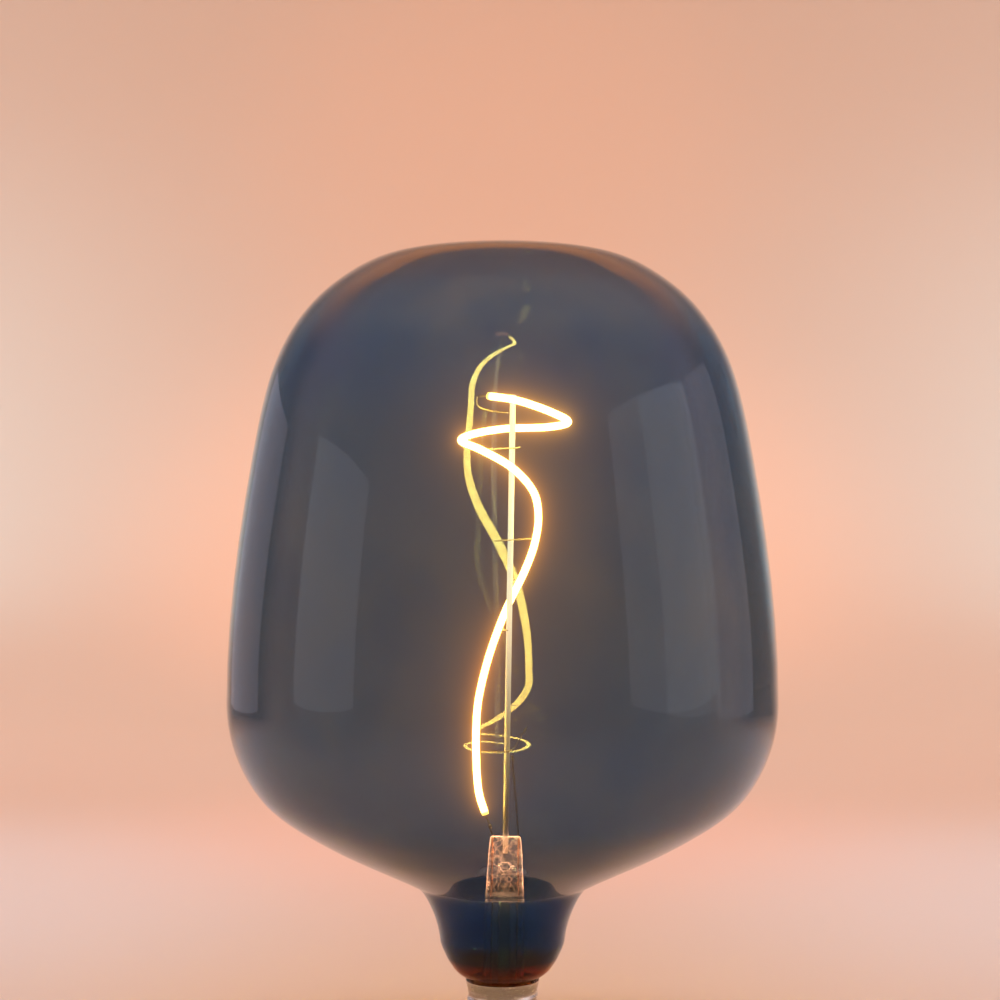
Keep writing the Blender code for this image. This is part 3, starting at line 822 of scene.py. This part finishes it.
def make_flag():
    """A dark card just over the floor and round the back of the lamp, which only reflections see.

    It keeps the edges of the glass dark, and shows more of the room where its cover fades.
    """
    radii = [FLAG_DISTANCE * i / 32 for i in range(12, 33)]
    profile = [(radius, floor_height(radius) + FLAG_LIFT) for radius in radii]
    foot = profile[-1][1]
    profile += [(FLAG_DISTANCE, foot + FLAG_TOP[1] * i / 24) for i in range(1, 25)]
    verts, faces = [], []
    for radius, height in profile:
        for j in range(FLAG_COLUMNS + 1):
            turn = math.pi * j / FLAG_COLUMNS
            verts.append((radius * math.cos(turn), radius * math.sin(turn), height))
    for i in range(len(profile) - 1):
        for j in range(FLAG_COLUMNS):
            k = i * (FLAG_COLUMNS + 1) + j
            faces.append((k, k + 1, k + FLAG_COLUMNS + 2, k + FLAG_COLUMNS + 1))
    card = bpy.data.meshes.new("flag")
    card.from_pydata(verts, [], faces)
    cover = card.attributes.new("cover", "FLOAT", "POINT")
    for value, vertex in zip(cover.data, card.vertices):
        value.value = flag_cover(vertex.co)
    flag = add_object("flag", card)
    material, tree, shader = new_material("dark_card")
    shader.inputs["Base Color"].default_value = (0.04, 0.045, 0.055, 1.0)
    shader.inputs["Roughness"].default_value = 0.9
    attribute = tree.nodes.new("ShaderNodeAttribute")
    attribute.attribute_name = "cover"
    clear = tree.nodes.new("ShaderNodeBsdfTransparent")
    mix_surfaces(tree, attribute.outputs["Fac"], clear, shader)
    card.materials.append(material)
    flag.visible_camera = False
    flag.visible_diffuse = False
    flag.visible_transmission = False
    flag.visible_shadow = False


def make_lights():
    # softbox: azimuth, elevation, distance, width and height, watts, colour
    softbox("left_box", 131, -2, 1.2, (0.69, 0.75), 0.60, (0.94, 0.80, 0.95))
    softbox("left_front_box", 75, 3, 1.3, (0.72, 0.7), 0.78, (0.84, 0.86, 1.0))
    softbox("right_front_box", -72, 6, 1.3, (1.06, 0.95), 1.3, (0.89, 0.90, 1.0))
    softbox("right_side_box", -81, 6, 1.25, (0.66, 0.9), 0.6, (0.83, 0.87, 1.0))
    softbox("right_box", -107, 2, 1.2, (0.56, 1.0), 0.58, (0.92, 0.84, 1.0))
    # area and spot: place, target, size or angle, watts, colour
    add_area("overhead", (0.0, 1.0, 2.2), (0.0, 1.3, 0.0), (2.0, 1.4), 27.5, (1.0, 0.30, 0.0))
    add_area("overhead_front", (0.0, -0.9, 2.2), (0.0, -0.9, 0.0), (1.6, 1.6), 5.4, (0.90, 0.98, 1.0))
    add_area("floor_wash", (0.0, 0.3, 1.5), (0.0, 0.35, 0.0), (1.8, 0.5), 9.2, (0.64, 0.82, 1.0))
    add_area("left_wash", (-0.9, 0.9, 0.9), (-0.9, 1.9, 0.3), (0.5, 0.5), 2.8, (0.25, 0.80, 1.0))
    add_area("right_wash", (0.9, 0.9, 0.9), (0.9, 1.9, 0.3), (0.5, 0.5), 2.8, (0.25, 0.80, 1.0))
    add_spot("wall_glow", (0.0, 1.0, 1.1), (0.0, 1.6, 0.15), 52, 23.0, (1.0, 0.31, 0.11))
    add_spot("floor_glow", (0.0, 0.5, 1.2), (0.0, 0.5, 0.0), 26, 12.8, (1.0, 0.13, 0.03))
    add_spot("top_glow", (0.0, 0.8, 1.1), (0.0, 2.0, 0.62), 40, 7.0, (1.0, 0.22, 0.0))
    for side in (-1, 1):
        corner, beside = 0.36 * side, 0.9 * side
        add_spot("corner_fill", (corner, 0.28, 0.8), (corner, 0.28, 0.0), 50, 9.0, (0.26, 0.66, 0.95))
        add_spot("side_fill", (beside, 0.9, 0.5), (0.70 * side, 1.9, 0.12), 72, 11.5, (0.35, 0.85, 1.0))


def make_camera():
    data = bpy.data.cameras.new("camera")
    data.lens = CAMERA_LENS
    data.sensor_width = CAMERA_SENSOR
    camera = add_object("camera", data)
    camera.location = CAMERA_PLACE
    camera.rotation_euler = (math.pi / 2, 0.0, 0.0)
    bpy.context.scene.camera = camera


def add_bloom():
    """The soft glow that a lens gives the lit filament."""
    scene = bpy.context.scene
    scene.use_nodes = True
    tree = scene.node_tree
    tree.nodes.clear()
    layers = tree.nodes.new("CompositorNodeRLayers")
    glare = tree.nodes.new("CompositorNodeGlare")
    output = tree.nodes.new("CompositorNodeComposite")
    glare.glare_type = "BLOOM"
    glare.inputs["Threshold"].default_value = 2.0
    glare.inputs["Smoothness"].default_value = 0.5
    glare.inputs["Strength"].default_value = 0.5
    glare.inputs["Tint"].default_value = (1.0, 0.55, 0.22, 1.0)
    glare.inputs["Size"].default_value = 0.3
    tree.links.new(layers.outputs["Image"], glare.inputs["Image"])
    tree.links.new(glare.outputs["Image"], output.inputs["Image"])


MATERIALS = make_materials()
paint_cad_nodes(MATERIALS)
make_envelope(MATERIALS)
make_stem(MATERIALS)
make_filament(MATERIALS)
make_post(MATERIALS)
make_screw_shell(MATERIALS)
make_base(MATERIALS)
make_room()
make_flag()
make_lights()
make_camera()
add_bloom()
bpy.context.scene.view_settings.view_transform = "Standard"
